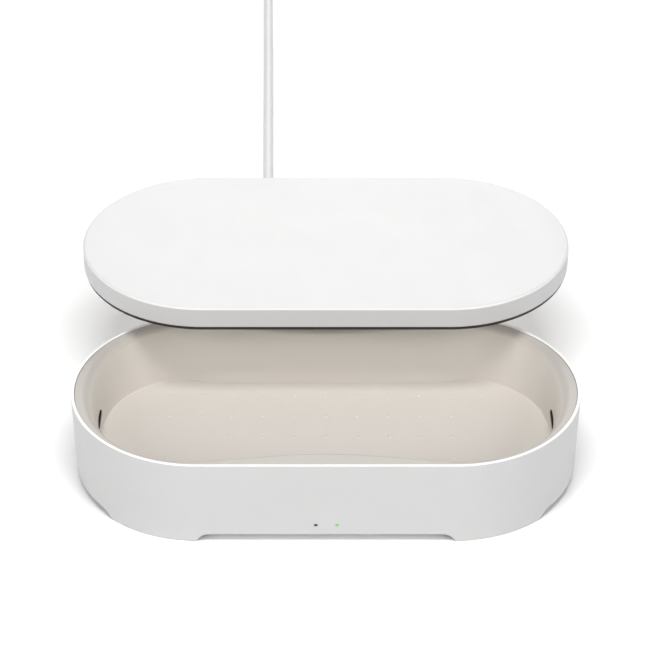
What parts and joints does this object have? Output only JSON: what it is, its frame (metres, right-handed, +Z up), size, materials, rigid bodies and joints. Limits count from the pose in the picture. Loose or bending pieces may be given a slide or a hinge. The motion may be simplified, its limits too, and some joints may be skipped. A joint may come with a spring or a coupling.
{
  "type": "phone sanitizer box",
  "caption": "Oval sanitizer box for a phone: white wall round a beige tub, lift-off lid, lamp windows in the ends and a lead.",
  "frame": {"origin": "middle of the base, on the surface that the box stands on", "axes": "+X along the box to the right seen from the front, +Y to the back where the lead leaves, +Z up"},
  "size_m": [0.244, 0.6659, 0.0709],
  "materials": {
    "shell_white": "satin",
    "tub_beige": "satin",
    "base_grey": "matte",
    "rubber_black": "matte",
    "steel": "brushed",
    "circuit_board": "satin",
    "chip_black": "matte",
    "lead_red": "satin",
    "lamp_ceramic": "matte",
    "window_dark": "gloss",
    "light_green": "gloss",
    "light_dark": "gloss",
    "magnet_nickel": "polished",
    "cord_white": "satin",
    "tie_grey": "matte",
    "plug_white": "satin"
  },
  "bodies": {
    "base": {"outer_shell": "shell_white", "inner_tub": "tub_beige", "base_pan": "base_grey", "foot_ring": "rubber_black", "base_screws": "steel", "main_board": "circuit_board", "board_parts": "chip_black", "indicator_board": "circuit_board", "internal_leads": "lead_red", "uv_board_left": "circuit_board", "uv_board_right": "circuit_board", "uv_lamps_left": "lamp_ceramic", "uv_lamps_right": "lamp_ceramic", "uv_window_left": "window_dark", "uv_window_right": "window_dark", "status_light": "light_green", "standby_light": "light_dark", "lid_sensor": "chip_black", "body_magnets": "magnet_nickel", "strain_relief": "cord_white", "power_cord": "cord_white", "cord_coil": "cord_white", "cord_tie": "tie_grey", "plug_body": "plug_white", "plug_shell": "steel", "plug_tongue": "plug_white"},
    "lid": {"lid_shell": "shell_white", "lid_panel": "tub_beige", "lid_gasket": "rubber_black", "lid_magnets": "magnet_nickel"}
  },
  "joints": [
    {"name": "lid_lift_off", "type": "slide", "parent": "base", "child": "lid", "axis": [0, 0.9898, 0.1422], "range_m": [-0.0921, 0.065]}
  ]
}
